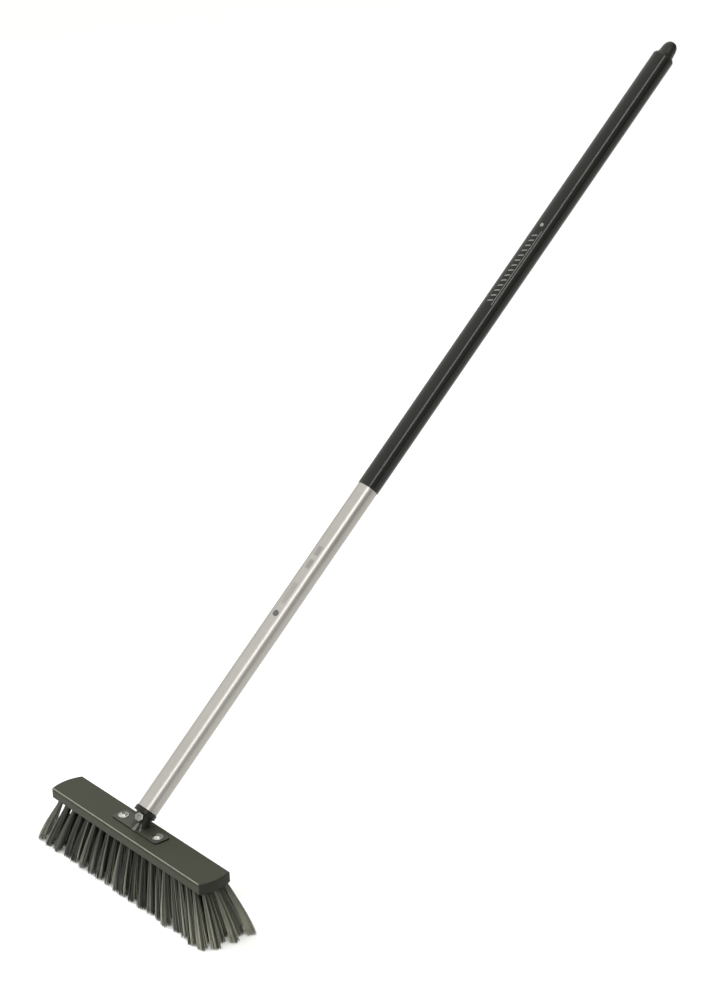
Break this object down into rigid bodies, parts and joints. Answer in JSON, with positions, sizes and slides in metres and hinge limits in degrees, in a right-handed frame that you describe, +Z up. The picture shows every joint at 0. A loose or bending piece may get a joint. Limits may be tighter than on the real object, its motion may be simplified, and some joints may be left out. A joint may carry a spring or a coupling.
{
  "type": "push broom",
  "caption": "Push broom: a long block of splayed bristle tufts under a screwed bracket, with a leaning metal tube handle, a full-length grip sleeve and a domed end cap.",
  "frame": {"origin": "on the floor plane of the bristle tips, under the middle of the brush block", "axes": "+X along the brush block, +Y towards the side that the handle leans to, +Z up"},
  "size_m": [0.3786, 0.9583, 0.9159],
  "materials": {
    "block": "matt, finely grained",
    "bristle": "satin filament",
    "wire": "drawn flat wire",
    "bracket": "semi-gloss black powder coat",
    "zinc": "bright zinc plating",
    "brass": "turned",
    "ferrule": "gloss black",
    "tube": "satin, drawn lengthwise",
    "grip": "satin",
    "cap": "semi-gloss moulding"
  },
  "bodies": {
    "handle": {"handle_tube": "tube", "grip_sleeve": "grip", "end_cap": "cap", "ferrule": "ferrule"},
    "head": {"brush_block": "block", "tufts_row_1": "bristle", "tufts_row_2": "bristle", "tufts_row_3": "bristle", "tufts_row_4": "bristle", "tufts_row_5": "bristle", "tufts_row_6": "bristle", "anchors_row_1": "wire", "anchors_row_2": "wire", "anchors_row_3": "wire", "anchors_row_4": "wire", "anchors_row_5": "wire", "anchors_row_6": "wire", "holder_plate": "bracket", "plate_screws": "zinc", "bracket_neck": "bracket", "clamp_nut": "zinc"},
    "thrust_pad": {"clamp_pad": "brass"},
    "clamp": {"clamp_screw": "zinc"}
  },
  "joints": [
    {"name": "handle_pull", "type": "slide", "parent": "handle", "child": "head", "axis": [0, -0.7431, -0.6691], "range_m": [0, 0.01]},
    {"name": "pad_travel", "type": "slide", "parent": "head", "child": "thrust_pad", "axis": [0.5736, -0.5481, 0.6087], "range_m": [0, 0.003]},
    {"name": "screw_turn", "type": "hinge", "parent": "thrust_pad", "child": "clamp", "pos_m": [0, 0.00508, 0.09204], "axis": [0.5736, -0.5481, 0.6087], "range_deg": [0, 1080]}
  ],
  "couplings": [
    {"joint": "screw_turn", "follows": "pad_travel", "rad_per_m": 6283.2}
  ]
}
